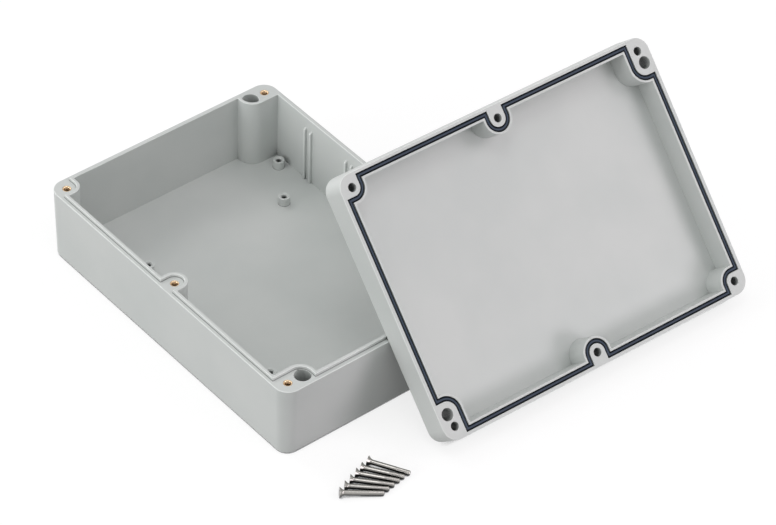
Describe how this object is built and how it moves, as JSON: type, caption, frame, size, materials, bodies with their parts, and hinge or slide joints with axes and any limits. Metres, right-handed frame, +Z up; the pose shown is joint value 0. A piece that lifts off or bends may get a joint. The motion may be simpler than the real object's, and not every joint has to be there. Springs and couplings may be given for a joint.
{
  "type": "sealed enclosure",
  "caption": "Light grey moulded electronics enclosure, opened: base tray with brass inserts, leaning lid with its gasket in a groove, and countersunk lid screws.",
  "frame": {"origin": "centre of the base tray's flat underside, on the surface it stands on", "axes": "+X along the base's long side, +Y along its short side, +Z up out of the tray; the lid leans on the +X rim"},
  "size_m": [0.3192, 0.3327, 0.1475],
  "materials": {
    "housing": "fine satin moulded light grey",
    "seal": "matt black foamed seal",
    "insert": "bright turned brass",
    "screw": "bright stainless steel"
  },
  "bodies": {
    "root": {"base": "housing", "lid": "housing", "gasket": "seal", "insert_1": "insert", "insert_2": "insert", "insert_3": "insert", "insert_4": "insert", "insert_5": "insert", "insert_6": "insert", "screw_1": "screw", "screw_2": "screw", "screw_3": "screw", "screw_4": "screw", "screw_5": "screw", "screw_6": "screw"}
  },
  "joints": []
}
